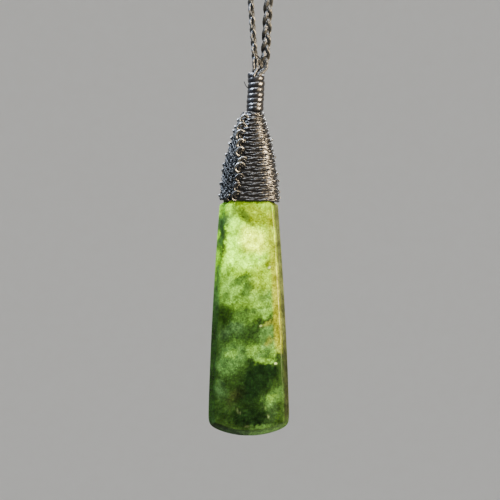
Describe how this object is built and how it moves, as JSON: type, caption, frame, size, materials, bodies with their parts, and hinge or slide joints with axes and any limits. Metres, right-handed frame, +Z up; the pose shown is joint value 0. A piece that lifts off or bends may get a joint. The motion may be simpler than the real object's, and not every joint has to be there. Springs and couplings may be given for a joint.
{
  "type": "greenstone drop pendant on a plaited cord",
  "caption": "Polished greenstone drop, long and straight-sided, lashed at its tip in waxed thread and hung on a plaited cord loop.",
  "frame": {"origin": "underside of the top of the cord loop, where the pendant hangs", "axes": "+Z up along the hanging pendant, +X to the right seen from the front, -Y out of the stone's front face"},
  "size_m": [0.0354, 0.0076, 0.362],
  "materials": {
    "greenstone": "polished, translucent",
    "waxed_thread": "waxed, slightly glossy",
    "plaited_cord": "waxed, slightly glossy"
  },
  "bodies": {
    "root": {"stone": "greenstone", "binding": "waxed_thread", "neck_whipping": "waxed_thread", "core_cord": "plaited_cord", "strand_1": "plaited_cord", "strand_2": "plaited_cord", "strand_3": "plaited_cord"}
  },
  "joints": []
}
